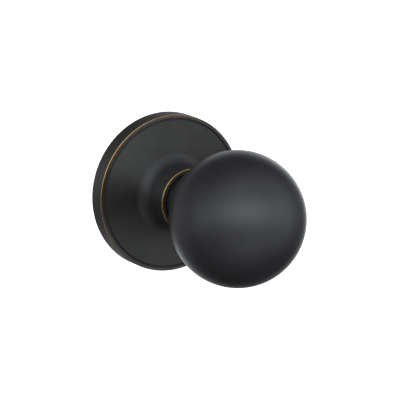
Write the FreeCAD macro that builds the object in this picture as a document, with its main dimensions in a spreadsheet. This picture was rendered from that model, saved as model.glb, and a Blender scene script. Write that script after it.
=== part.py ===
"""Outside half of a passage door knob: a ball knob on a sprung round rose.

The knob turns about Y. The door's face is the plane Y = 0, the knob points to -Y and +Z is up.
In the outlines below X is the distance from the turning axis and -Y the distance out from the door.
"""
import FreeCAD, Part
import math
import os

import Sketcher

Vector = FreeCAD.Vector

# Every driving dimension, in millimetres or degrees.
DIMENSIONS = {
    # rose cover
    "rose_radius": 32.94,
    "rim_taper": 0.44,
    "rose_wall": 1.2,
    "edge_bevel": 0.3,
    "lip_width": 1.4,
    "groove_width": 0.8,
    "groove_depth": 0.6,
    "hub_height": 20.9,
    "hub_fillet": 4.4,
    "mouth_gap": 0.7,
    "cavity_gap": 0.03,
    # ball, neck and shank
    "ball_radius": 25,
    "knob_wall": 1.2,
    "neck_show": 9,
    "neck_blend": 2.5,
    "neck_lead": 0.9,
    "shoulder_gap": 0.5,
    "shoulder_step": 1.1,
    "shank_wall": 1.6,
    "tail_length": 5,
    "flat_depth": 0.8,
    "core_width": 7.8,
    "core_thickness": 1.5,
    "rivet_height": 1.2,
    "rivet_overhang": 1.4,
    # plate and what is staked into it
    "plate_thickness": 1.5,
    "post_spacing": 38,
    "post_radius": 3.5,
    "post_length": 12,
    "post_spigot": 2.8,
    "post_head": 3.8,
    "post_head_height": 1,
    "thread_radius": 1.65,
    "thread_depth": 13,
    "post_bevel": 0.5,
    "screw_inset": 4.8,
    "screw_count": 3,
    "screw_radius": 1.25,
    "screw_head": 2.6,
    "screw_grip": 3.1,
    "boss_radius": 2.6,
    "anchor_thickness": 1.6,
    "stud_radius": 1.2,
    # spring and driver
    "turn_limit": 50,
    "wire_radius": 0.5,
    "coil_gap": 0.6,
    "coil_play": 0.05,
    "coil_turns": 2,
    "finger_half_width": 1.6,
    "finger_thickness": 1.1,
    "arm_half_width": 2.5,
    "arm_thickness": 0.9,
    "sleeve_wall": 1.3,
    # bearings and retainers
    "front_bush_wall": 1.08,
    "front_bush_length": 6,
    "rear_bush_wall": 1.3,
    "flange_width": 2.45,
    "flange_thickness": 1,
    "washer_thickness": 0.3,
    "spring_washer_height": 0.8,
    "spring_washer_thickness": 0.4,
    "ring_thickness": 1,
    "ring_width": 2.1,
    "ring_groove_depth": 0.7,
    "ring_opening": 5,
    "ear_radius": 1.5,
    "ear_hole": 0.6,
    # spindle
    "spindle_size": 8,
    "spindle_reach": 38,
    "spindle_bevel": 0.8,
    "socket_wall": 0.94,
    "socket_length": 20,
    "pin_radius": 1.5,
    # clearances
    "running_gap": 0.05,
    "seat_gap": 0.02,
    "free_gap": 0.3,
}

document = FreeCAD.newDocument("door_knob")
dims = document.addObject("Spreadsheet::Sheet", "dims")
for row, (alias, value) in enumerate(DIMENSIONS.items(), start=1):
    dims.set("A%d" % row, str(value))
    dims.setAlias("A%d" % row, alias)
document.recompute()

# Sizes that follow from the driving dimensions, as expressions over the sheet.
# The radii grow outwards from the square spindle, and the heights from the plate on the door.
SHANK_BORE = "(dims.spindle_size / sqrt(2) + dims.socket_wall)"
TAIL_RADIUS = "(%s + dims.shank_wall)" % SHANK_BORE
NECK_BORE = "(%s + dims.shoulder_step)" % TAIL_RADIUS
NECK_RADIUS = "(%s + dims.knob_wall)" % NECK_BORE
FRONT_BUSH_BORE = "(%s + dims.running_gap)" % NECK_RADIUS
FRONT_BUSH_RADIUS = "(%s + dims.front_bush_wall)" % FRONT_BUSH_BORE
HUB_BORE = "(%s + dims.seat_gap)" % FRONT_BUSH_RADIUS
HUB_RADIUS = "(%s + dims.rose_wall)" % HUB_BORE
MOUTH_RADIUS = "(%s + dims.mouth_gap)" % NECK_RADIUS
SHANK_RADIUS = "(%s - dims.seat_gap)" % NECK_BORE
SOCKET_RADIUS = "(%s - dims.seat_gap)" % SHANK_BORE
SLEEVE_BORE = "(%s + dims.seat_gap)" % TAIL_RADIUS
SLEEVE_RADIUS = "(%s + dims.sleeve_wall)" % TAIL_RADIUS
TAIL_BUSH_BORE = "(%s + dims.running_gap)" % TAIL_RADIUS
TAIL_BUSH_RADIUS = "(%s + dims.rear_bush_wall)" % TAIL_BUSH_BORE
FLANGE_RADIUS = "(%s + dims.flange_width)" % TAIL_BUSH_RADIUS
FLAT_HALF_WIDTH = "(%s - dims.flat_depth)" % TAIL_RADIUS
RING_SEAT = "(%s - dims.ring_groove_depth)" % TAIL_RADIUS
RING_RADIUS = "(%s + dims.ring_width)" % RING_SEAT

RIM_RADIUS = "(dims.rose_radius - dims.rim_taper)"
GROOVE_OUTER = "(%s - dims.lip_width)" % RIM_RADIUS
GROOVE_INNER = "(%s - dims.groove_width)" % GROOVE_OUTER
PLATE_RADIUS = "(%s - dims.rose_wall)" % RIM_RADIUS
SCREW_CIRCLE = "(%s - dims.screw_inset)" % PLATE_RADIUS

COIL_RADIUS = "(%s + dims.coil_gap + dims.wire_radius)" % SLEEVE_RADIUS
COIL_PITCH = "(2 * dims.wire_radius + dims.coil_play)"
WASHER_RADIUS = "(%s + dims.free_gap)" % COIL_RADIUS
WASHER_FRONT = "(dims.plate_thickness + dims.washer_thickness)"
ARM_BACK = "(%s + dims.running_gap)" % WASHER_FRONT
ARM_FRONT = "(%s + dims.arm_thickness)" % ARM_BACK
COIL_START = "(%s + dims.wire_radius + dims.free_gap / 2)" % ARM_FRONT
LEG_OFFSET = "(dims.finger_half_width + dims.running_gap + dims.wire_radius)"
LEG_SWING = "asin(%s / %s)" % (LEG_OFFSET, COIL_RADIUS)
COIL_HEIGHT = "(%s * (dims.coil_turns + 2 * %s / 360 deg))" % (COIL_PITCH, LEG_SWING)
COIL_END = "(%s + %s)" % (COIL_START, COIL_HEIGHT)
FINGER_INNER = "(%s + dims.wire_radius + 2 * dims.free_gap)" % COIL_RADIUS
FINGER_OUTER = "(%s + dims.finger_thickness)" % FINGER_INNER
FINGER_TOP = "(%s + dims.wire_radius + dims.free_gap)" % COIL_END
ANCHOR_INNER = "(%s + 2 * dims.free_gap)" % FINGER_OUTER
ANCHOR_OUTER = "(%s + dims.anchor_thickness)" % ANCHOR_INNER
ANCHOR_TOP = "(%s + dims.wire_radius)" % COIL_END
STUD_CIRCLE = "(%s - dims.finger_thickness / 2)" % FINGER_OUTER
STUD_TOP = "(%s - dims.free_gap / 4)" % ARM_FRONT
STUD_REACH = "(dims.arm_half_width + dims.stud_radius + dims.running_gap)"
STUD_ANGLE = "(dims.turn_limit * 1 deg + asin(%s / %s))" % (STUD_REACH, STUD_CIRCLE)

FACE_INSIDE = "(%s + dims.cavity_gap)" % ANCHOR_TOP
ROSE_HEIGHT = "(%s + dims.rose_wall)" % FACE_INSIDE
MOUTH_INSIDE = "(dims.hub_height - dims.rose_wall)"
BUSH_FRONT = "(%s - dims.seat_gap)" % MOUTH_INSIDE
BUSH_BACK = "(%s - dims.front_bush_length)" % BUSH_FRONT
NECK_END = "(%s - dims.neck_lead)" % BUSH_BACK
SHOULDER = "(%s - dims.shoulder_gap)" % NECK_END
PIN_HEIGHT = "(%s - dims.pin_radius - dims.free_gap)" % SHOULDER
SLEEVE_TOP = "(%s - dims.pin_radius - 2 * dims.free_gap)" % PIN_HEIGHT
SCREW_LENGTH = "(dims.plate_thickness + dims.screw_grip)"

BALL_INSIDE = "(dims.ball_radius - dims.knob_wall)"
BLEND_ACROSS = "(%s + dims.neck_blend)" % NECK_RADIUS
BLEND_REACH = "(dims.ball_radius + dims.neck_blend)"
BLEND_ALONG = "sqrt(%s ^ 2 - %s ^ 2)" % (BLEND_REACH, BLEND_ACROSS)
BLEND_START = "(dims.hub_height + dims.neck_show)"
BALL_CENTRE = "(%s + %s)" % (BLEND_START, BLEND_ALONG)
CORE_RADIUS = "(%s + dims.core_width)" % TAIL_RADIUS
CORE_SEAT = "(%s - sqrt(%s ^ 2 - %s ^ 2) + dims.seat_gap)" % (BALL_CENTRE, BALL_INSIDE, CORE_RADIUS)
CORE_TOP = "(%s + dims.core_thickness)" % CORE_SEAT

WASHER_BACK = "(dims.flange_thickness + dims.running_gap)"
RING_FRONT = "(%s + dims.spring_washer_height + dims.running_gap)" % WASHER_BACK
SOCKET_BACK = "(dims.tail_length - dims.shoulder_gap)"
SOCKET_FRONT = "(dims.socket_length - %s)" % SOCKET_BACK


def size(expression):
    """The present value of an expression over the sheet."""
    value = dims.evalExpression(expression)
    return float(getattr(value, "Value", value))


def new_body(label):
    body = document.addObject("PartDesign::Body", label)
    body.Label = label
    body.Placement = FreeCAD.Placement()
    return body


def origin_feature(body, role):
    return next(item for item in body.Origin.OriginFeatures if item.Role == role)


def new_sketch(body, name, plane="XY_Plane"):
    sketch = body.newObject("Sketcher::SketchObject", name)
    sketch.AttachmentSupport = [(origin_feature(body, plane), "")]
    sketch.MapMode = "FlatFace"
    return sketch


def bind(sketch, constraint, expression):
    index = sketch.addConstraint(constraint)
    sketch.setExpression("Constraints[%d]" % index, expression)


def place_point(sketch, edge, end, point):
    """Bind one end of an edge to its place, measured from the sketch's origin."""
    for kind, expression in zip(("DistanceX", "DistanceY"), point):
        constraint = Sketcher.Constraint(kind, -1, 1, edge, end, size(expression))
        bind(sketch, constraint, expression)


def arc_between(start, stop, radius, clockwise):
    """The short arc from start to stop, as Sketcher stores it: counterclockwise."""
    chord = stop - start
    reach = math.sqrt(max(radius ** 2 - (chord.Length / 2) ** 2, 0))
    side = Vector(-chord.y, chord.x).normalize()
    if clockwise:
        side = -side
    centre = (start + stop) / 2 + side * reach
    first, last = (stop, start) if clockwise else (start, stop)
    angles = [math.atan2(point.y - centre.y, point.x - centre.x) for point in (first, last)]
    if angles[1] < angles[0]:
        angles[1] += 2 * math.pi
    return Part.ArcOfCircle(Part.Circle(centre, Vector(0, 0, 1), radius), *angles)


def draw_outline(sketch, corners):
    """Draw a closed outline. A corner is (x, y), or (x, y, radius, turn) where an arc leaves it.

    The turn of an arc is "left" for counterclockwise and "right" for clockwise.
    """
    ends = []
    for corner, following in zip(corners, corners[1:] + corners[:1]):
        start = Vector(size(corner[0]), size(corner[1]))
        stop = Vector(size(following[0]), size(following[1]))
        if len(corner) == 2:
            edge = sketch.addGeometry(Part.LineSegment(start, stop))
            ends.append((edge, 1, 2))
            continue
        clockwise = corner[3] == "right"
        edge = sketch.addGeometry(arc_between(start, stop, size(corner[2]), clockwise))
        ends.append((edge, 2, 1) if clockwise else (edge, 1, 2))
    for (edge, start, stop), (next_edge, next_start, _) in zip(ends, ends[1:] + ends[:1]):
        sketch.addConstraint(Sketcher.Constraint("Coincident", edge, stop, next_edge, next_start))
    for (edge, start, stop), corner in zip(ends, corners):
        place_point(sketch, edge, start, corner[:2])
        if len(corner) > 2:
            bind(sketch, Sketcher.Constraint("Radius", edge, size(corner[2])), corner[2])


def draw_circle(sketch, centre, radius):
    circle = Part.Circle(Vector(size(centre[0]), size(centre[1])), Vector(0, 0, 1), size(radius))
    edge = sketch.addGeometry(circle)
    place_point(sketch, edge, 3, centre)
    bind(sketch, Sketcher.Constraint("Radius", edge, size(radius)), radius)


def draw_box(sketch, low, high):
    draw_outline(sketch, [low, (high[0], low[1]), high, (low[0], high[1])])


def revolve(body, name, corners, kind="PartDesign::Revolution"):
    """Turn an outline about the knob's axis."""
    sketch = new_sketch(body, name + "_outline")
    draw_outline(sketch, corners)
    feature = body.newObject(kind, name)
    feature.Profile = sketch
    feature.ReferenceAxis = (sketch, ["V_Axis"])
    feature.Angle = 360
    document.recompute()
    return feature


def extrude(body, name, draw, start, length, kind="PartDesign::Pad", plane="XZ_Plane"):
    """Extrude what draw() puts in a sketch, from the distance start outwards by length.

    A sketch on the XZ plane faces -Y, away from the door.
    """
    sketch = new_sketch(body, name + "_sketch", plane)
    sketch.setExpression("AttachmentOffset.Base.z", start)
    draw(sketch)
    feature = body.newObject(kind, name)
    feature.Profile = sketch
    feature.Type = "Length"
    feature.setExpression("Length", length)
    feature.Reversed = kind == "PartDesign::Pocket"
    document.recompute()
    return feature


def bevel(body, base, chosen, width):
    """Bevel those edges of the feature base for which chosen(edge) holds."""
    names = ["Edge%d" % number for number, edge in enumerate(base.Shape.Edges, 1) if chosen(edge)]
    feature = body.newObject("PartDesign::Chamfer", "bevel")
    feature.Base = (base, names)
    feature.setExpression("Size", width)
    document.recompute()


def lies_at(edge, y):
    """Whether an edge lies in the plane at that Y."""
    box = edge.BoundBox
    return abs(box.YMin - y) < 1e-6 and abs(box.YMax - y) < 1e-6


def ring_corners(inner, outer, back, front):
    """The outline of a plain ring between two distances from the door."""
    return [
        (inner, "-(%s)" % back),
        (outer, "-(%s)" % back),
        (outer, "-(%s)" % front),
        (inner, "-(%s)" % front),
    ]


def rose_cover():
    """Turned brass rose: tapered rim, lip, groove, face and flared hub, with three screw bosses."""
    body = new_body("rose_cover")
    fillet_start = HUB_RADIUS + " + dims.hub_fillet"
    fillet_top = "-(%s + dims.hub_fillet)" % ROSE_HEIGHT
    groove_floor = "-(%s - dims.groove_depth)" % ROSE_HEIGHT
    revolve(body, "rose_profile", [
        ("dims.rose_radius", "0"),
        (RIM_RADIUS, "-(%s - dims.edge_bevel)" % ROSE_HEIGHT),
        (RIM_RADIUS + " - dims.edge_bevel", "-" + ROSE_HEIGHT),
        (GROOVE_OUTER, "-" + ROSE_HEIGHT),
        (GROOVE_OUTER, groove_floor),
        (GROOVE_INNER, groove_floor),
        (GROOVE_INNER, "-" + ROSE_HEIGHT),
        (fillet_start, "-" + ROSE_HEIGHT, "dims.hub_fillet", "left"),
        (HUB_RADIUS, fillet_top),
        (HUB_RADIUS, "-(dims.hub_height - dims.edge_bevel)"),
        (HUB_RADIUS + " - dims.edge_bevel", "-dims.hub_height"),
        (MOUTH_RADIUS, "-dims.hub_height"),
        (MOUTH_RADIUS, "-" + MOUTH_INSIDE),
        (HUB_BORE, "-" + MOUTH_INSIDE),
        (HUB_BORE, fillet_top, "dims.hub_fillet + dims.rose_wall", "right"),
        (fillet_start, "-" + FACE_INSIDE),
        (RIM_RADIUS + " - dims.rose_wall", "-" + FACE_INSIDE),
        ("dims.rose_radius - dims.rose_wall", "0"),
    ])
    boss_base = "dims.plate_thickness"
    boss = extrude(
        body, "screw_boss",
        lambda sketch: draw_circle(sketch, ("0", SCREW_CIRCLE), "dims.boss_radius"),
        boss_base, FACE_INSIDE + " - dims.plate_thickness + dims.groove_depth / 2",
    )
    hole = extrude(
        body, "screw_hole",
        lambda sketch: draw_circle(sketch, ("0", SCREW_CIRCLE), "dims.screw_radius"),
        boss_base, "dims.screw_grip + dims.free_gap", "PartDesign::Pocket",
    )
    repeat_around(body, "screw_bosses", [boss, hole])
    return body


def knob_shell():
    """Hollow brass ball with its neck drawn in one piece."""
    body = new_body("knob_shell")
    across = "dims.ball_radius * %s / %s" % (BLEND_ACROSS, BLEND_REACH)
    along = "%s - dims.ball_radius * %s / %s" % (BALL_CENTRE, BLEND_ALONG, BLEND_REACH)
    inner_across = "%s * %s / %s" % (BALL_INSIDE, BLEND_ACROSS, BLEND_REACH)
    inner_along = "%s - %s * %s / %s" % (BALL_CENTRE, BALL_INSIDE, BLEND_ALONG, BLEND_REACH)
    revolve(body, "shell_profile", [
        ("0", "-(%s + dims.ball_radius)" % BALL_CENTRE, "dims.ball_radius", "left"),
        (across, "-(%s)" % along, "dims.neck_blend", "right"),
        (NECK_RADIUS, "-" + BLEND_START),
        (NECK_RADIUS, "-" + NECK_END),
        (NECK_BORE, "-" + NECK_END),
        (NECK_BORE, "-" + BLEND_START, "dims.neck_blend + dims.knob_wall", "left"),
        (inner_across, "-(%s)" % inner_along, BALL_INSIDE, "right"),
        ("0", "-(%s + %s)" % (BALL_CENTRE, BALL_INSIDE)),
    ])
    return body


def core_washer():
    """Steel disc inside the ball, which the end of the shank is riveted over."""
    body = new_body("core_washer")
    revolve(body, "disc", ring_corners(SLEEVE_BORE, CORE_RADIUS, CORE_SEAT, CORE_TOP))
    return body


def cut_pin_hole(body, reach):
    """Cut the cross pin's hole right through a piece that reaches that far from the axis."""
    hole = extrude(
        body, "pin_hole",
        lambda sketch: draw_circle(sketch, ("0", "-" + PIN_HEIGHT), "dims.pin_radius + dims.seat_gap"),
        "0", "3 * " + reach, "PartDesign::Pocket", "XY_Plane",
    )
    hole.Midplane = True
    document.recompute()


def shank():
    """Steel tube from the core washer, through the neck and the rose, to the retaining ring."""
    body = new_body("shank")
    head = "(%s + dims.rivet_overhang)" % TAIL_RADIUS
    head_base = "(%s + dims.seat_gap)" % CORE_TOP
    head_top = "(%s + dims.rivet_height)" % head_base
    ring_back = "(%s + dims.ring_thickness + 2 * dims.seat_gap)" % RING_FRONT
    revolve(body, "tube", [
        (SHANK_BORE, "dims.tail_length"),
        (TAIL_RADIUS, "dims.tail_length"),
        (TAIL_RADIUS, ring_back),
        (RING_SEAT, ring_back),
        (RING_SEAT, RING_FRONT),
        (TAIL_RADIUS, RING_FRONT),
        (TAIL_RADIUS, "-" + SHOULDER),
        (SHANK_RADIUS, "-" + SHOULDER),
        (SHANK_RADIUS, "-(%s - dims.seat_gap)" % CORE_SEAT),
        (TAIL_RADIUS, "-(%s - dims.seat_gap)" % CORE_SEAT),
        (TAIL_RADIUS, "-" + head_base),
        (head, "-" + head_base),
        (head, "-" + head_top),
        (SHANK_BORE, "-" + head_top),
    ])
    for side in ("", "-"):
        near, far = side + FLAT_HALF_WIDTH, side + SLEEVE_BORE
        extrude(
            body, "flat_left" if side else "flat_right",
            lambda sketch: draw_box(sketch, (near, "-" + TAIL_RADIUS), (far, TAIL_RADIUS)),
            "-(dims.tail_length + dims.seat_gap)",
            "dims.tail_length + %s + 2 * dims.seat_gap" % SLEEVE_TOP, "PartDesign::Pocket",
        )
    cut_pin_hole(body, TAIL_RADIUS)
    return body


def spindle_socket():
    """Steel block in the shank, with the square hole that drives the spindle."""
    body = new_body("spindle_socket")
    revolve(body, "block", [
        ("0", SOCKET_BACK),
        (SOCKET_RADIUS, SOCKET_BACK),
        (SOCKET_RADIUS, "-" + SOCKET_FRONT),
        ("0", "-" + SOCKET_FRONT),
    ])
    half = "(dims.spindle_size / 2 + dims.running_gap)"
    extrude(
        body, "square_hole",
        lambda sketch: draw_box(sketch, ("-" + half, "-" + half), (half, half)),
        "-(%s + dims.seat_gap)" % SOCKET_BACK, "dims.socket_length + 2 * dims.seat_gap",
        "PartDesign::Pocket",
    )
    cut_pin_hole(body, SHANK_BORE)
    return body


def spindle():
    """Square steel bar that turns the latch, bevelled where it enters it."""
    body = new_body("spindle")
    half = "(dims.spindle_size / 2)"
    bar = extrude(
        body, "bar",
        lambda sketch: draw_box(sketch, ("-" + half, "-" + half), (half, half)),
        "-dims.spindle_reach", "dims.spindle_reach + " + SOCKET_FRONT,
    )
    tip = size("dims.spindle_reach")
    bevel(body, bar, lambda edge: lies_at(edge, tip), "dims.spindle_bevel")
    cut_pin_hole(body, "dims.spindle_size")
    return body


def cross_pin():
    """Steel pin through the shank, the socket and the spindle."""
    body = new_body("cross_pin")
    pin = extrude(
        body, "pin",
        lambda sketch: draw_circle(sketch, ("0", "-" + PIN_HEIGHT), "dims.pin_radius"),
        "0", "2 * (%s - dims.free_gap)" % TAIL_RADIUS, plane="XY_Plane",
    )
    pin.Midplane = True
    document.recompute()
    return body


def spring_driver():
    """Die-cast sleeve keyed to the shank, with an arm and a finger that open the spring."""
    body = new_body("spring_driver")
    flat = "(%s + dims.seat_gap)" % FLAT_HALF_WIDTH
    revolve(body, "sleeve", ring_corners(SLEEVE_BORE, SLEEVE_RADIUS, ARM_BACK, SLEEVE_TOP))
    for side in ("", "-"):
        near, far = side + flat, side + "(%s - dims.seat_gap)" % SLEEVE_RADIUS
        half_flat = "(sqrt(%s ^ 2 - %s ^ 2) + dims.seat_gap)" % (SLEEVE_BORE, flat)
        extrude(
            body, "key_left" if side else "key_right",
            lambda sketch: draw_outline(sketch, [
                (near, "-" + half_flat),
                (side + SLEEVE_BORE, "-" + half_flat),
                (side + SLEEVE_BORE, half_flat),
                (near, half_flat),
            ]),
            ARM_BACK, "%s - %s" % (SLEEVE_TOP, ARM_BACK),
        )
    arm_root = "(%s + dims.sleeve_wall / 2)" % TAIL_RADIUS
    extrude(
        body, "arm",
        lambda sketch: draw_box(
            sketch, ("-dims.arm_half_width", arm_root), ("dims.arm_half_width", FINGER_OUTER)
        ),
        ARM_BACK, "dims.arm_thickness",
    )
    extrude(
        body, "finger",
        lambda sketch: draw_box(
            sketch, ("-dims.finger_half_width", FINGER_INNER), ("dims.finger_half_width", FINGER_OUTER)
        ),
        ARM_BACK, "%s - %s" % (FINGER_TOP, ARM_BACK),
    )
    return body


def return_spring():
    """Torsion spring whose crossed legs straddle the driver's finger and the anchor."""
    body = new_body("return_spring")
    section = new_sketch(body, "wire_section")
    # The section is turned about Y to the angle at which the first leg leaves the coil.
    turn = "(%s - 90 deg)" % LEG_SWING
    rotation = FreeCAD.Rotation(Vector(0, 1, 0), size(turn))
    section.AttachmentOffset = FreeCAD.Placement(Vector(), rotation)
    section.setExpression("AttachmentOffset.Rotation.Angle", turn)
    draw_circle(section, (COIL_RADIUS, "-" + COIL_START), "dims.wire_radius")
    coil = body.newObject("PartDesign::AdditiveHelix", "coil")
    coil.Profile = section
    coil.ReferenceAxis = (section, ["V_Axis"])
    coil.Mode = "pitch-height-angle"
    coil.setExpression("Pitch", COIL_PITCH)
    coil.setExpression("Height", COIL_HEIGHT)
    coil.Reversed = True
    coil.LeftHanded = True
    document.recompute()
    bend = "sqrt(%s ^ 2 - %s ^ 2)" % (COIL_RADIUS, LEG_OFFSET)
    levels = (COIL_START, COIL_END)
    for name, side, level in zip(("first_leg", "last_leg"), ("", "-"), levels):
        extrude(
            body, name,
            lambda sketch: draw_circle(sketch, (side + LEG_OFFSET, "-" + level), "dims.wire_radius"),
            bend, "%s - %s" % (ANCHOR_OUTER, bend), plane="XY_Plane",
        )
    return body


def mounting_plate():
    """Steel plate that closes the back of the rose and carries the posts, anchor and studs."""
    body = new_body("mounting_plate")
    bore = "(%s + dims.seat_gap)" % TAIL_BUSH_RADIUS
    revolve(body, "plate", ring_corners(bore, PLATE_RADIUS, "0", "dims.plate_thickness"))
    back = "-dims.seat_gap"
    depth = "dims.plate_thickness + 2 * dims.seat_gap"
    for side, name in (("-", "left"), ("", "right")):
        extrude(
            body, "post_hole_" + name,
            lambda sketch: draw_circle(
                sketch, (side + "dims.post_spacing / 2", "0"), "dims.post_spigot + dims.seat_gap"
            ),
            back, depth, "PartDesign::Pocket",
        )
        extrude(
            body, "stud_hole_" + name,
            lambda sketch: draw_circle(sketch, stud_place(side), "dims.stud_radius + dims.seat_gap"),
            back, depth, "PartDesign::Pocket",
        )
    slot_half = "(dims.finger_half_width + dims.seat_gap)"
    extrude(
        body, "anchor_slot",
        lambda sketch: draw_box(
            sketch,
            ("-" + slot_half, "%s - dims.seat_gap" % ANCHOR_INNER),
            (slot_half, "%s + dims.seat_gap" % ANCHOR_OUTER),
        ),
        back, depth, "PartDesign::Pocket",
    )
    through = "dims.plate_thickness + dims.seat_gap"
    sink = turn_screw_shape(body, "countersink", "PartDesign::Groove", "dims.seat_gap", through)
    repeat_around(body, "countersinks", [sink])
    return body


def stud_place(side):
    """Where a stop stud stands, in the plate's sketch. The arm rests at twelve o'clock."""
    return (
        "%s%s * sin(%s)" % (side, STUD_CIRCLE, STUD_ANGLE),
        "%s * cos(%s)" % (STUD_CIRCLE, STUD_ANGLE),
    )


def turn_screw_shape(body, name, kind, play, front):
    """Turn a countersunk shape about the screw's own axis, at twelve o'clock.

    It is a screw that ends at front, or the hole for one, wider and further back by play.
    """
    sketch = new_sketch(body, name + "_outline", "YZ_Plane")
    cone = "(dims.screw_head - dims.screw_radius)"
    head_edge = "%s + dims.screw_head + %s" % (SCREW_CIRCLE, play)
    side = "%s + dims.screw_radius + %s" % (SCREW_CIRCLE, play)
    draw_outline(sketch, [
        (play, SCREW_CIRCLE),
        (play, head_edge),
        ("-" + cone, side),
        ("-(%s)" % front, side),
        ("-(%s)" % front, SCREW_CIRCLE),
    ])
    height = size(SCREW_CIRCLE)
    axis_line = Part.LineSegment(Vector(0, height), Vector(1, height))
    axis = sketch.addGeometry(axis_line, True)
    place_point(sketch, axis, 1, ("0", SCREW_CIRCLE))
    place_point(sketch, axis, 2, ("1", SCREW_CIRCLE))
    feature = body.newObject(kind, name)
    feature.Profile = sketch
    feature.ReferenceAxis = (sketch, ["Axis0"])
    feature.Angle = 360
    document.recompute()
    return feature


def repeat_around(body, name, features):
    """Repeat features about the knob's axis, once for each cover screw."""
    pattern = body.newObject("PartDesign::PolarPattern", name)
    pattern.Originals = features
    pattern.Axis = (origin_feature(body, "Y_Axis"), [""])
    pattern.Angle = 360
    pattern.setExpression("Occurrences", "dims.screw_count")
    body.Tip = pattern


def cover_screws():
    """Three countersunk screws that hold the cover to the plate."""
    body = new_body("cover_screws")
    body.AllowCompound = True
    screw = turn_screw_shape(body, "screw", "PartDesign::Revolution", "0", SCREW_LENGTH)
    repeat_around(body, "screws", [screw])
    return body


def post(label, side):
    """Threaded post, riveted into the plate, which takes a bolt from the inside of the door."""
    body = new_body(label)
    place = (side + "dims.post_spacing / 2", "0")
    tail = "(dims.post_length + dims.seat_gap)"
    shaft = extrude(
        body, "shaft", lambda sketch: draw_circle(sketch, place, "dims.post_radius"),
        "-" + tail, "dims.post_length",
    )
    tail_end = size(tail)
    bevel(body, shaft, lambda edge: lies_at(edge, tail_end), "dims.post_bevel")
    extrude(
        body, "spigot", lambda sketch: draw_circle(sketch, place, "dims.post_spigot"),
        "-dims.seat_gap", "dims.plate_thickness + 2 * dims.seat_gap",
    )
    extrude(
        body, "rivet_head", lambda sketch: draw_circle(sketch, place, "dims.post_head"),
        "dims.plate_thickness + dims.seat_gap", "dims.post_head_height",
    )
    extrude(
        body, "thread_bore", lambda sketch: draw_circle(sketch, place, "dims.thread_radius"),
        "-" + tail, "dims.thread_depth", "PartDesign::Pocket",
    )
    return body


def spring_anchor():
    """Steel tab staked into the plate, which holds whichever leg the driver leaves behind."""
    body = new_body("spring_anchor")
    extrude(
        body, "tab",
        lambda sketch: draw_box(
            sketch, ("-dims.finger_half_width", ANCHOR_INNER), ("dims.finger_half_width", ANCHOR_OUTER)
        ),
        "0", ANCHOR_TOP,
    )
    return body


def stop_studs():
    """Two studs staked into the plate, which end the driver's travel."""
    body = new_body("stop_studs")
    body.AllowCompound = True

    def draw_studs(sketch):
        for side in ("", "-"):
            draw_circle(sketch, stud_place(side), "dims.stud_radius")

    extrude(body, "studs", draw_studs, "0", STUD_TOP)
    return body


def front_bush():
    """Acetal bearing in the hub's mouth, which the neck turns in."""
    body = new_body("front_bush")
    revolve(body, "ring", ring_corners(FRONT_BUSH_BORE, FRONT_BUSH_RADIUS, BUSH_BACK, BUSH_FRONT))
    return body


def rear_bush():
    """Flanged acetal bearing in the plate, which the tail of the shank turns in."""
    body = new_body("rear_bush")
    revolve(body, "flanged_ring", [
        (TAIL_BUSH_BORE, "dims.flange_thickness"),
        (FLANGE_RADIUS, "dims.flange_thickness"),
        (FLANGE_RADIUS, "dims.seat_gap"),
        (TAIL_BUSH_RADIUS, "dims.seat_gap"),
        (TAIL_BUSH_RADIUS, "-dims.plate_thickness"),
        (TAIL_BUSH_BORE, "-dims.plate_thickness"),
    ])
    return body


def friction_washer():
    """Thin acetal washer between the plate and the driver's arm."""
    body = new_body("friction_washer")
    bore = "(%s + dims.free_gap)" % TAIL_RADIUS
    revolve(body, "ring", ring_corners(bore, WASHER_RADIUS, "dims.plate_thickness", WASHER_FRONT))
    return body


def spring_washer():
    """Dished steel washer behind the rear bush, which takes up the end play."""
    body = new_body("spring_washer")
    outer = "(%s - 2 * dims.free_gap)" % FLANGE_RADIUS
    far = "(%s + dims.spring_washer_height)" % WASHER_BACK
    revolve(body, "dished_ring", [
        (TAIL_BUSH_BORE, far),
        (TAIL_BUSH_BORE, "%s - dims.spring_washer_thickness" % far),
        (outer, WASHER_BACK),
        (outer, "%s + dims.spring_washer_thickness" % WASHER_BACK),
    ])
    return body


def retaining_ring():
    """External ring in the groove at the tail of the shank, with two ears for its pliers."""
    body = new_body("retaining_ring")
    front = "(%s + dims.seat_gap)" % RING_FRONT
    back = "(%s + dims.ring_thickness)" % front
    bore = "(%s + dims.seat_gap)" % RING_SEAT
    revolve(body, "ring", [(bore, back), (RING_RADIUS, back), (RING_RADIUS, front), (bore, front)])
    half = "(dims.ring_opening / 2)"
    ear_across = "(%s + dims.ear_radius)" % half
    ear_height = "-(%s)" % RING_RADIUS

    def draw_pair(sketch, radius):
        for side in ("", "-"):
            draw_circle(sketch, (side + ear_across, ear_height), radius)

    extrude(
        body, "ears", lambda sketch: draw_pair(sketch, "dims.ear_radius"),
        "-" + back, "dims.ring_thickness",
    )
    start = "-(%s + dims.seat_gap)" % back
    depth = "dims.ring_thickness + 2 * dims.seat_gap"
    extrude(
        body, "opening",
        lambda sketch: draw_box(sketch, ("-" + half, "-(2 * %s)" % RING_RADIUS), (half, "0")),
        start, depth, "PartDesign::Pocket",
    )
    extrude(
        body, "ear_holes", lambda sketch: draw_pair(sketch, "dims.ear_hole"),
        start, depth, "PartDesign::Pocket",
    )
    return body


parts = [
    rose_cover(),
    mounting_plate(),
    post("post_left", "-"),
    post("post_right", ""),
    cover_screws(),
    spring_anchor(),
    stop_studs(),
    front_bush(),
    rear_bush(),
    friction_washer(),
    return_spring(),
    knob_shell(),
    core_washer(),
    shank(),
    spring_driver(),
    spindle_socket(),
    spindle(),
    cross_pin(),
    spring_washer(),
    retaining_ring(),
]
document.recompute()

for item in document.Objects:
    if "Invalid" in item.State or "Error" in item.State:
        raise RuntimeError("%s did not build: %s" % (item.Name, item.State))
for part in parts:
    if part.Shape.isNull() or not part.Shape.isValid():
        raise RuntimeError("%s has no valid shape" % part.Label)

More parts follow.
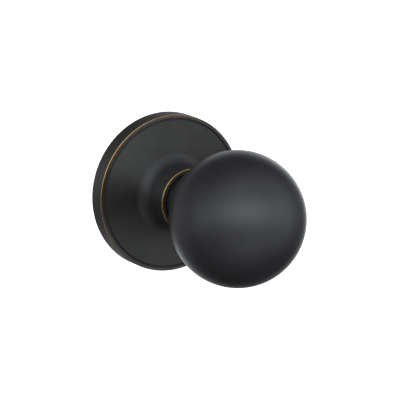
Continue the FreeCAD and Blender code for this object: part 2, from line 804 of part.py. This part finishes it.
os.makedirs("parts", exist_ok=True)
for part in parts:
    part.Shape.exportStep(os.path.join("parts", part.Label + ".step"))
    print(part.Label, len(part.Shape.Solids), round(part.Shape.Volume, 2))
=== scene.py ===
"""Looks of a satin black ball door knob on a round rose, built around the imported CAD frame.

Everything is in metres in the frame's own axes: the door's face is Y = 0, the knob points to -Y.
"""
import math

import bpy
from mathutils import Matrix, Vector


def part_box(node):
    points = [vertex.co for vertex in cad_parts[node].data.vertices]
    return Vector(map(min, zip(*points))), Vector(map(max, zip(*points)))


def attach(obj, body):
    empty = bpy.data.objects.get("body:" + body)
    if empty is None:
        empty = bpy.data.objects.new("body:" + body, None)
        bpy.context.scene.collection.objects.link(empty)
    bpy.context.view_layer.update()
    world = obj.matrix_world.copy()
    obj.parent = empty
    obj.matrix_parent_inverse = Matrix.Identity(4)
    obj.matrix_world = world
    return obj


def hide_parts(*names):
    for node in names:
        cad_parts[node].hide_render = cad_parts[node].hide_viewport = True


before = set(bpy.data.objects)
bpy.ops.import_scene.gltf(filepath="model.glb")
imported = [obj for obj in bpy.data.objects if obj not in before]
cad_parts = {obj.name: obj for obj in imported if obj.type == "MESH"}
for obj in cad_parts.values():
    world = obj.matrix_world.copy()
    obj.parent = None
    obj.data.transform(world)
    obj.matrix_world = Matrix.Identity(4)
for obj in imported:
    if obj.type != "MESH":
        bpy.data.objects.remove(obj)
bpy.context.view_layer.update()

MM = 0.001
ROUND_STEPS = 192  # faces round a turned piece
CORNER_STEP = 9  # degrees of arc for one face on a rounded corner
BALL_STEP = 2
INNER_STEP = 4
TINY = 1e-7  # nearer than this to the axis, or to the last point, is on it


# ---------------------------------------------------------------- sizes from the frame

rose_low, rose_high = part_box("rose_cover")
shell_low, shell_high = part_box("knob_shell")
plate_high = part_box("mounting_plate")[1]
bush_low, bush_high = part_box("front_bush")
post_low, post_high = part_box("post_right")

ROSE_RADIUS = rose_high.x
HUB_HEIGHT = -rose_low.y
BALL_RADIUS = shell_high.x
BALL_TIP = -shell_low.y
BALL_CENTRE = BALL_TIP - BALL_RADIUS
NECK_END = -shell_high.y
POST_X = (post_low.x + post_high.x) / 2

WALL = 1.2 * MM  # sheet of the rose and the ball
SEAT = 0.02 * MM  # clearance of the front bush in the hub
HUB_RADIUS = bush_high.x + SEAT + WALL
MOUTH_INSIDE = -bush_low.y + SEAT
RIM_RADIUS = plate_high.x + WALL
ROSE_HEIGHT = 7.3 * MM
HUB_FILLET = 4.4 * MM
LIP_WIDTH = 1.4 * MM
GROOVE_WIDTH = 0.8 * MM
GROOVE_DEPTH = 0.6 * MM
NECK_RADIUS = 10.5 * MM
NECK_BLEND = 2.5 * MM
MOUTH_RADIUS = NECK_RADIUS + 0.7 * MM
EDGE_ROUND = 0.3 * MM  # the two worn edges
SMALL_ROUND = 0.12 * MM


# ---------------------------------------------------------------- turned shapes

class Path:
    """A line in the plane of radius and distance out, with its outward normal at each point.

    It runs counterclockwise round the material, so outward is on its right.
    """

    def __init__(self):
        self.points = []
        self.normals = []

    def add(self, radius, out, normal):
        """Add a point, unless the path is there already, as where one arc meets the next."""
        if self.points and math.dist(self.points[-1], (radius, out)) < TINY:
            return
        self.points.append((radius, out))
        self.normals.append(normal)

    def arc(self, centre, radius, start, stop, step):
        """Add an arc between two angles in degrees, one face for every step of it.

        The material is inside the arc if its angles go up, and outside it if they go down.
        """
        steps = max(2, math.ceil(abs(stop - start) / step))
        outward = 1 if stop > start else -1
        for index in range(steps + 1):
            angle = math.radians(start + (stop - start) * index / steps)
            across, along = math.cos(angle), math.sin(angle)
            point = (centre[0] + radius * across, centre[1] + radius * along)
            self.add(*point, (outward * across, outward * along))

    def corners(self, corners, closed=False):
        """Add straight runs between corners, each (radius, out, rounding), rounded off.

        The first and last corners of an open run only give its direction.
        """
        count = len(corners)
        for index in range(count):
            if not closed and index in (0, count - 1):
                continue
            here = Vector(corners[index][:2])
            run_in = (here - Vector(corners[index - 1][:2])).normalized()
            run_out = (Vector(corners[(index + 1) % count][:2]) - here).normalized()
            turn = math.atan2(run_in.cross(run_out), run_in.dot(run_out))
            side = 1 if turn > 0 else -1
            rounding = corners[index][2]
            first = here - run_in * rounding * math.tan(abs(turn) / 2)
            centre = first + side * rounding * Vector((-run_in.y, run_in.x))
            start = math.degrees(math.atan2(first.y - centre.y, first.x - centre.x))
            self.arc(centre, rounding, start, start + math.degrees(turn), CORNER_STEP)


def lathe(name, path):
    """Turn a closed path about the Y axis into a smooth mesh with exact normals."""
    vertices, normals, rings = [], [], []
    for (radius, out), (across, along) in zip(path.points, path.normals):
        if radius < TINY:
            rings.append([len(vertices)] * ROUND_STEPS)
            vertices.append((0, -out, 0))
            normals.append((0, -1 if along > 0 else 1, 0))
            continue
        rings.append(list(range(len(vertices), len(vertices) + ROUND_STEPS)))
        for index in range(ROUND_STEPS):
            angle = 2 * math.pi * index / ROUND_STEPS
            side, up = math.cos(angle), math.sin(angle)
            vertices.append((radius * side, -out, radius * up))
            normals.append((across * side, -along, across * up))
    faces = []
    for ring, other in zip(rings, rings[1:] + rings[:1]):
        for index in range(ROUND_STEPS):
            after = (index + 1) % ROUND_STEPS
            face = [ring[index], ring[after], other[after], other[index]]
            face = [v for place, v in enumerate(face) if v != face[place - 1]]
            if len(face) > 2:
                faces.append(face)
    mesh = bpy.data.meshes.new(name)
    mesh.from_pydata(vertices, [], faces)
    mesh.update()
    mesh.polygons.foreach_set("use_smooth", [True] * len(mesh.polygons))
    mesh.normals_split_custom_set_from_vertices(normals)
    piece = bpy.data.objects.new(name, mesh)
    bpy.context.scene.collection.objects.link(piece)
    return piece


def rose_skin():
    """The rose with its tapered rim, lip, groove, flat face and flared hub.

    The CAD's three screw bosses, which the mounting plate hides, are left out.
    """
    path = Path()
    groove_outer = RIM_RADIUS - LIP_WIDTH
    groove_inner = groove_outer - GROOVE_WIDTH
    groove_floor = ROSE_HEIGHT - GROOVE_DEPTH
    face_inside = ROSE_HEIGHT - WALL
    path.corners([
        (ROSE_RADIUS - WALL, 0, SMALL_ROUND),
        (ROSE_RADIUS, 0, SMALL_ROUND),
        (RIM_RADIUS, ROSE_HEIGHT, EDGE_ROUND),
        (groove_outer, ROSE_HEIGHT, SMALL_ROUND),
        (groove_outer, groove_floor, SMALL_ROUND),
        (groove_inner, groove_floor, SMALL_ROUND),
        (groove_inner, ROSE_HEIGHT, SMALL_ROUND),
        (HUB_RADIUS, ROSE_HEIGHT, HUB_FILLET),
        (HUB_RADIUS, HUB_HEIGHT, EDGE_ROUND),
        (MOUTH_RADIUS, HUB_HEIGHT, SMALL_ROUND),
        (MOUTH_RADIUS, MOUTH_INSIDE, SMALL_ROUND),
        (HUB_RADIUS - WALL, MOUTH_INSIDE, SMALL_ROUND),
        (HUB_RADIUS - WALL, face_inside, HUB_FILLET + WALL),
        (RIM_RADIUS - WALL, face_inside, SMALL_ROUND),
    ], closed=True)
    return lathe("rose_cover_skin", path)


def knob_skin():
    """The ball and its neck, one wall thick."""
    path = Path()
    blend_across = NECK_RADIUS + NECK_BLEND
    blend_along = math.sqrt((BALL_RADIUS + NECK_BLEND) ** 2 - blend_across ** 2)
    blend = (blend_across, BALL_CENTRE - blend_along)
    lean = math.degrees(math.atan2(blend_along, blend_across))
    meet = 180 - lean  # angle, about the blend's centre, at which it meets the ball
    ball = (0, BALL_CENTRE)
    neck_bore = NECK_RADIUS - WALL
    path.corners([
        (neck_bore, blend[1], SMALL_ROUND),
        (neck_bore, NECK_END, SMALL_ROUND),
        (NECK_RADIUS, NECK_END, SMALL_ROUND),
        (NECK_RADIUS, blend[1], SMALL_ROUND),
    ])
    path.arc(blend, NECK_BLEND, 180, meet, INNER_STEP)
    path.arc(ball, BALL_RADIUS, -lean, 90, BALL_STEP)
    path.arc(ball, BALL_RADIUS - WALL, 90, -lean, INNER_STEP)
    path.arc(blend, NECK_BLEND + WALL, meet, 180, INNER_STEP)
    return lathe("knob_shell_skin", path)


# ---------------------------------------------------------------- materials

BLACK = (0.019, 0.019, 0.020)
BLACK_LIGHTER = (0.022, 0.022, 0.023)
BALL_ROUGHNESS = 0.35
BALL_UNEVEN = 0.012
ROSE_BLACK = (0.078, 0.078, 0.077)
ROSE_LIGHTER = (0.086, 0.086, 0.085)
ROSE_ROUGHNESS = 0.45
EDGE_ROUGHNESS = 0.30  # the lip and the rim's side
# Painted shade: the hub with its fillet, and the groove, get a darker, less metallic colour than
# the face.
HUB_PAINTED_SHADE = (0.034, 0.034, 0.035)
HUB_ROUGHNESS = 0.34
HOLLOW_METALLIC = 0.45  # of the duller hub and groove
# painted shade in the groove
GROOVE_PAINTED_SHADE = (0.030, 0.030, 0.030)
BRASS = (0.62, 0.36, 0.10)
BRASS_DEEP = (0.45, 0.23, 0.06)
SPECK = 0.35 * MM
SPECK_ROUGHNESS = 0.01
WEAR_INSET = 0.1 * MM  # how far the worn circles lie inside the edges' sharp corners
RIM_WEAR = 0.14 * MM
MOUTH_WEAR = 0.27 * MM
WEAR_RAGGED = 0.04 * MM
PLATED = (0.62, 0.63, 0.65)


class NodeTree:
    """Short ways to add nodes to a material or a world."""

    def __init__(self, owner):
        owner.use_nodes = True
        self.nodes = owner.node_tree.nodes
        self.links = owner.node_tree.links

    def node(self, kind, inputs=(), **settings):
        """A node whose inputs are linked to sockets or set to values."""
        node = self.nodes.new(kind)
        for name, value in settings.items():
            setattr(node, name, value)
        for socket, value in dict(inputs).items():
            if isinstance(value, bpy.types.NodeSocket):
                self.links.new(value, node.inputs[socket])
            else:
                node.inputs[socket].default_value = value
        return node

    def math(self, operation, *values):
        return self.node("ShaderNodeMath", enumerate(values), operation=operation).outputs[0]

    def squares(self, first, second):
        """The sum of two values' squares."""
        return self.math("ADD", self.math("MULTIPLY", first, first),
                         self.math("MULTIPLY", second, second))


class Finish(NodeTree):
    """A procedural material being put together, measured in the frame's metres."""

    def __init__(self, name, color, roughness, metallic=1.0):
        self.material = bpy.data.materials.new(name)
        super().__init__(self.material)
        self.shader = self.nodes["Principled BSDF"]
        self.shader.inputs["Base Color"].default_value = (*color, 1)
        self.shader.inputs["Roughness"].default_value = roughness
        self.shader.inputs["Metallic"].default_value = metallic
        self.place = self.node("ShaderNodeTexCoord").outputs["Object"]

    def noise(self, grain, detail=3, stretch=(1, 1, 1), place=None):
        """Noise whose features are about one grain across, times stretch along each axis."""
        scaled = self.node("ShaderNodeVectorMath", operation="MULTIPLY", inputs={
            0: place or self.place, 1: [1 / (grain * length) for length in stretch]})
        return self.node("ShaderNodeTexNoise", {
            "Vector": scaled.outputs[0], "Scale": 1, "Detail": detail}).outputs["Fac"]

    def spread(self, value, low, high, start=0.3, stop=0.7):
        """Map the part of value between start and stop to low ... high."""
        return self.node("ShaderNodeMapRange", {
            "Value": value, "From Min": start, "From Max": stop,
            "To Min": low, "To Max": high}, interpolation_type="SMOOTHSTEP").outputs["Result"]

    def mix(self, factor, first, second):
        """A colour between first and second."""
        node = self.node("ShaderNodeMix", data_type="RGBA")
        for name, value in (("Factor_Float", factor), ("A_Color", first), ("B_Color", second)):
            socket = next(s for s in node.inputs if s.identifier == name)
            if isinstance(value, bpy.types.NodeSocket):
                self.links.new(value, socket)
            else:
                socket.default_value = (*value, 1) if name != "Factor_Float" else value
        return next(s for s in node.outputs if s.identifier == "Result_Color")

    def about_axis(self, centre_x=0.0):
        """Distance from an axis along Y, and the place along it."""
        place = self.node("ShaderNodeSeparateXYZ", {0: self.place})
        x = self.math("SUBTRACT", place.outputs["X"], centre_x)
        distance = self.math("SQRT", self.squares(x, place.outputs["Z"]))
        return distance, place.outputs["Y"]

    def turning(self, centre_x=0.0):
        """A place that is the same all round an axis, for lines left by turning."""
        across, along = self.about_axis(centre_x)
        return self.node("ShaderNodeCombineXYZ", {0: across, 1: along}).outputs[0]

    def use(self, **sockets):
        """Link values to the shader's inputs of those names."""
        for name, value in sockets.items():
            self.links.new(value, self.shader.inputs[name.replace("_", " ")])

    def bump(self, height, depth):
        node = self.node("ShaderNodeBump", {"Height": height, "Strength": 1, "Distance": depth})
        self.use(Normal=node.outputs["Normal"])


def worn_edge(finish, radius, out, width, ragged):
    """One on a sharp edge round the knob's axis, falling to nothing a ragged width away."""
    across, along = finish.about_axis()
    side = finish.math("SUBTRACT", across, radius - WEAR_INSET)
    depth = finish.math("ADD", along, out - WEAR_INSET)
    distance = finish.math("ADD", finish.math("SQRT", finish.squares(side, depth)), ragged)
    return finish.spread(distance, 1, 0, width * 0.7, width * 1.15)


def blackened_ball():
    """The ball's dark satin finish."""
    finish = Finish("blackened_ball", BLACK, BALL_ROUGHNESS, metallic=0)
    cloud = finish.noise(9 * MM)
    specks = finish.noise(SPECK, detail=2)
    finish.use(Base_Color=finish.mix(finish.spread(cloud, 0, 1), BLACK, BLACK_LIGHTER))
    finish.use(Roughness=finish.math(
        "ADD", finish.spread(specks, -SPECK_ROUGHNESS, SPECK_ROUGHNESS),
        finish.spread(cloud, BALL_ROUGHNESS - BALL_UNEVEN, BALL_ROUGHNESS + BALL_UNEVEN)))
    finish.bump(specks, 0.0006 * MM)
    return finish.material


def blackened_rose():
    """Dark finish brushed in rings, with painted shade (darker, less metallic) in the hub and
    groove, worn to brass on two edges.
    """
    finish = Finish("blackened_rose", ROSE_BLACK, ROSE_ROUGHNESS)
    finish.shader.inputs["Anisotropic"].default_value = 1.0
    finish.shader.inputs["Anisotropic Rotation"].default_value = 0.25
    rings = finish.node("ShaderNodeTangent", direction_type="RADIAL", axis="Y")
    across = finish.about_axis()[0]
    specks = finish.noise(SPECK, detail=2)

    ragged = finish.spread(finish.noise(1.2 * MM), -WEAR_RAGGED, WEAR_RAGGED)
    rim = worn_edge(finish, RIM_RADIUS, ROSE_HEIGHT, RIM_WEAR, ragged)
    mouth = worn_edge(finish, HUB_RADIUS, HUB_HEIGHT, MOUTH_WEAR, ragged)
    worn = finish.math("MAXIMUM", rim, mouth)
    fillet_edge = HUB_RADIUS + HUB_FILLET
    # mask of the hub and its fillet, fading out towards the face, for their painted shade and
    # roughness
    hub = finish.spread(across, 1, 0, fillet_edge - 2.6 * MM, fillet_edge + 0.3 * MM)
    lip = RIM_RADIUS - LIP_WIDTH
    edge = finish.spread(across, 0, 1, lip, lip + 0.3 * MM)
    # mask of the groove, for its painted shade and lower metallic
    aside = finish.math("SUBTRACT", across, lip - GROOVE_WIDTH / 2)
    groove = finish.spread(finish.math("ABSOLUTE", aside), 1, 0,
                           GROOVE_WIDTH * 0.45, GROOVE_WIDTH * 0.75)

    cloud = finish.spread(finish.noise(6 * MM), 0, 1)
    # painted shade: the hub and its fillet are darkened
    dark = finish.mix(hub, finish.mix(cloud, ROSE_BLACK, ROSE_LIGHTER), HUB_PAINTED_SHADE)
    # painted shade: the groove is darkened
    dark = finish.mix(groove, dark, GROOVE_PAINTED_SHADE)
    brass = finish.mix(finish.spread(specks, 0, 1), BRASS, BRASS_DEEP)
    # the painted shade of the hub and groove is also made less metallic
    dull = finish.math("MULTIPLY_ADD", finish.math("MAXIMUM", hub, groove), HOLLOW_METALLIC - 1, 1)
    gloss = finish.math("MULTIPLY_ADD", edge, EDGE_ROUGHNESS - ROSE_ROUGHNESS, ROSE_ROUGHNESS)
    gloss = finish.math("MULTIPLY_ADD", hub, HUB_ROUGHNESS - ROSE_ROUGHNESS, gloss)
    gloss = finish.math("ADD", finish.spread(specks, -SPECK_ROUGHNESS, SPECK_ROUGHNESS), gloss)
    finish.use(Base_Color=finish.mix(worn, dark, brass), Roughness=gloss,
               Metallic=finish.math("MAXIMUM", worn, dull), Tangent=rings.outputs["Tangent"])
    return finish.material


def plated_plate():
    """Zinc plate on rolled sheet: a fine grain along X and faint straw and blue passivation."""
    finish = Finish("plated_plate", (0.36, 0.37, 0.38), 0.35)
    grain = finish.noise(0.12 * MM, stretch=(40, 1, 1))
    cloud = finish.noise(7 * MM, detail=5)
    blue, straw, bright = (0.31, 0.33, 0.36), (0.38, 0.36, 0.32), (0.44, 0.45, 0.46)
    tint = finish.mix(finish.spread(cloud, 0, 1), blue, straw)
    finish.use(Base_Color=finish.mix(finish.spread(grain, 0, 0.35), tint, bright),
               Roughness=finish.spread(grain, 0.28, 0.46))
    finish.bump(grain, 0.004 * MM)
    return finish.material


def turned_plated(name, centre_x=0.0, color=PLATED):
    """A turned piece: fine rings about its axis under a thin plating."""
    finish = Finish(name, color, 0.3)
    rings = finish.noise(0.1 * MM, place=finish.turning(centre_x))
    cloud = finish.noise(3 * MM)
    darker = [part * 0.75 for part in color]
    finish.use(Base_Color=finish.mix(finish.spread(cloud, 0, 1), color, darker),
               Roughness=finish.spread(rings, 0.24, 0.42))
    finish.bump(rings, 0.004 * MM)
    return finish.material


def drawn_bar():
    """Cold drawn square bar: lines along it, saw marks across its cut ends."""
    finish = Finish("drawn_bar", (0.55, 0.56, 0.58), 0.3)
    lines = finish.noise(0.09 * MM, stretch=(1, 60, 1))
    sawn = finish.noise(0.12 * MM, stretch=(40, 40, 1))
    normal = finish.node("ShaderNodeNewGeometry").outputs["Normal"]
    facing = finish.math("ABSOLUTE", finish.node("ShaderNodeSeparateXYZ", {0: normal}).outputs["Y"])
    end = finish.spread(facing, 0, 1, 0.8, 0.9)
    height = finish.node("ShaderNodeMix", {"Factor": end, "A": lines, "B": sawn}).outputs[0]
    cloud = finish.noise(5 * MM, detail=5)
    cool, warm = (0.5, 0.52, 0.56), (0.62, 0.61, 0.58)
    finish.use(Base_Color=finish.mix(finish.spread(cloud, 0, 1), cool, warm),
               Roughness=finish.spread(height, 0.22, 0.42))
    finish.bump(height, 0.006 * MM)
    return finish.material


def oiled_spring():
    """Oil tempered spring steel: dark, brown in places, with a thin oil gloss."""
    finish = Finish("oiled_spring", (0.16, 0.16, 0.17), 0.32)
    cloud = finish.noise(1.6 * MM, detail=4)
    fine = finish.noise(0.15 * MM)
    dark, brown = (0.13, 0.13, 0.15), (0.22, 0.18, 0.14)
    finish.use(Base_Color=finish.mix(finish.spread(cloud, 0, 1), dark, brown),
               Roughness=finish.spread(fine, 0.26, 0.4))
    finish.bump(fine, 0.002 * MM)
    return finish.material


def cast_zinc():
    """Die cast zinc: dull, grainy, with flow marks."""
    finish = Finish("cast_zinc", (0.5, 0.5, 0.52), 0.5)
    flow = finish.noise(2.5 * MM, detail=6)
    grains = finish.noise(0.2 * MM)
    dull, bright = (0.44, 0.45, 0.47), (0.58, 0.58, 0.6)
    finish.use(Base_Color=finish.mix(finish.spread(flow, 0, 1), dull, bright),
               Roughness=finish.spread(grains, 0.42, 0.6))
    finish.bump(finish.math("ADD", grains, flow), 0.01 * MM)
    return finish.material


def black_acetal():
    """Black acetal with the fine spark grain of its mould."""
    finish = Finish("black_acetal", (0.018, 0.018, 0.019), 0.42, metallic=0)
    grains = finish.noise(0.14 * MM)
    cloud = finish.noise(4 * MM)
    darker, lighter = (0.015, 0.015, 0.016), (0.024, 0.024, 0.025)
    finish.use(Base_Color=finish.mix(finish.spread(cloud, 0, 1), darker, lighter),
               Roughness=finish.spread(grains, 0.36, 0.5))
    finish.bump(grains, 0.006 * MM)
    return finish.material


plate_finish = plated_plate()
turned_finish = turned_plated("turned_steel_rings", color=(0.5, 0.5, 0.52))
spring_finish = oiled_spring()
acetal_finish = black_acetal()
FINISHES = {
    "mounting_plate": plate_finish,
    "cover_screws": turned_plated("plated_screws", color=(0.20, 0.19, 0.17)),
    "post_right": turned_plated("plated_post_right", POST_X),
    "post_left": turned_plated("plated_post_left", -POST_X),
    "spring_anchor": plate_finish,
    "stop_studs": turned_finish,
    "core_washer": turned_finish,
    "shank": turned_finish,
    "spindle_socket": turned_finish,
    "cross_pin": turned_finish,
    "spindle": drawn_bar(),
    "return_spring": spring_finish,
    "spring_washer": spring_finish,
    "retaining_ring": spring_finish,
    "spring_driver": cast_zinc(),
    "front_bush": acetal_finish,
    "rear_bush": acetal_finish,
    "friction_washer": acetal_finish,
}
for node, finish in FINISHES.items():
    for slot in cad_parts[node].material_slots:
        slot.material = finish

rose = rose_skin()
knob = knob_skin()
for piece, finish, node, body in ((rose, blackened_rose(), "rose_cover", "rose"),
                                  (knob, blackened_ball(), "knob_shell", "knob")):
    piece.data.materials.append(finish)
    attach(piece, body)
    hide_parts(node)


# ---------------------------------------------------------------- camera and studio

AZIMUTH = math.radians(-31.32)
ELEVATION = math.radians(13.5)
DISTANCE = 0.350
AIM_RIGHT = 0.014586
AIM_DOWN = 0.003921
back = Vector((math.sin(AZIMUTH) * math.cos(ELEVATION),
               -math.cos(AZIMUTH) * math.cos(ELEVATION), math.sin(ELEVATION)))
right = Vector((math.cos(AZIMUTH), math.sin(AZIMUTH), 0))
up = back.cross(right)

camera = bpy.data.objects.new("camera", bpy.data.cameras.new("camera"))
camera.location = back * DISTANCE + right * AIM_RIGHT - up * AIM_DOWN
camera.rotation_euler = back.to_track_quat("Z", "Y").to_euler()
camera.data.lens = 75.79
camera.data.sensor_width = 36
camera.data.clip_start = 0.01
bpy.context.scene.collection.objects.link(camera)
bpy.context.scene.camera = camera

# Soft lights: azimuth and elevation from the camera in degrees, spread across and up, radiance.
# A least-squares fit picked them from 36 listed candidates and solved for their radiances. Six were
# then changed or added: key, right_strip, right_edge, back_rim, back_top and back_right. The other
# nine are as the fit left them.
SOFT_LIGHTS = {
    "key": (12, 13, 0.9, 0.45, 1.95),
    "key_band": (15, 15, 0.9, 0.25, 0.90),
    "right_strip": (75, 20, 0.2, 0.4, 0.40),
    "right_edge": (90, 0, 0.3, 0.6, 0.15),
    "top": (30, 60, 0.9, 0.2, 0.51),
    "top_front": (0, 60, 0.9, 0.3, 0.29),
    "low_front": (15, -45, 0.5, 0.2, 0.66),
    "low_right": (45, -25, 0.5, 0.3, 0.35),
    "left_edge": (-105, 0, 0.35, 0.35, 0.33),
    "back_left": (-165, 15, 0.9, 0.4, 0.36),
    "back_low": (-150, -30, 0.9, 0.2, 0.20),
    "back_rim": (-160, -14, 0.30, 0.18, 1.15),
    "back_top": (-172, 30, 0.30, 0.20, 0.50),
    "back_right": (162, 8, 0.20, 0.35, 2.50),
    "floor_bounce": (0, -70, 0.6, 0.4, 0.16),
}
AMBIENT = 0.02
DAYLIGHT = (0.965, 0.99, 1.03, 1)
WHITE = (1, 1, 1, 1)
FLOOR_PALE = (0.95, 0.95, 0.95)
FLOOR_LEVEL = -0.20
FLOOR_HALF = 3.0


def studio_light():
    """A world of soft lights round the object, which the camera sees as plain white."""
    world = bpy.data.worlds.new("studio")
    bpy.context.scene.world = world
    tree = NodeTree(world)
    towards = tree.node("ShaderNodeTexCoord").outputs["Generated"]

    def along(axis):
        return tree.node("ShaderNodeVectorMath", {0: towards, 1: axis},
                         operation="DOT_PRODUCT").outputs["Value"]

    total = AMBIENT
    for azimuth, elevation, wide, high, radiance in SOFT_LIGHTS.values():
        turn, lift = math.radians(azimuth), math.radians(elevation)
        flat = back * math.cos(turn) + right * math.sin(turn)
        side = right * math.cos(turn) - back * math.sin(turn)
        centre = flat * math.cos(lift) + up * math.sin(lift)
        square = tree.squares(along(side / wide), along(centre.cross(side) / high))
        glow = tree.math("EXPONENT", tree.math("MULTIPLY", square, -1))
        front = tree.math("GREATER_THAN", along(centre), 0)
        total = tree.math("MULTIPLY_ADD", tree.math("MULTIPLY", glow, front), radiance, total)

    seen = tree.node("ShaderNodeLightPath").outputs["Is Camera Ray"]
    lit = tree.node("ShaderNodeBackground", {"Color": DAYLIGHT, "Strength": total})
    plain = tree.node("ShaderNodeBackground", {"Color": WHITE})
    both = tree.node("ShaderNodeMixShader", {0: seen, 1: lit.outputs[0], 2: plain.outputs[0]})
    tree.links.new(both.outputs[0], tree.nodes["World Output"].inputs["Surface"])


def plain_floor():
    """A plain white floor well below the knob, which throws no light or shade on it."""
    mesh = bpy.data.meshes.new("floor")
    corners = [(-FLOOR_HALF, -FLOOR_HALF), (FLOOR_HALF, -FLOOR_HALF),
               (FLOOR_HALF, FLOOR_HALF), (-FLOOR_HALF, FLOOR_HALF)]
    mesh.from_pydata([(x, y, FLOOR_LEVEL) for x, y in corners], [], [(0, 1, 2, 3)])
    floor = bpy.data.objects.new("floor", mesh)
    bpy.context.scene.collection.objects.link(floor)
    finish = Finish("white_floor", FLOOR_PALE, 0.8)
    finish.shader.inputs["Emission Color"].default_value = WHITE
    finish.shader.inputs["Emission Strength"].default_value = 1.0
    mesh.materials.append(finish.material)
    floor.visible_diffuse = floor.visible_glossy = floor.visible_shadow = False


studio_light()
plain_floor()
bpy.context.scene.view_settings.view_transform = "Standard"
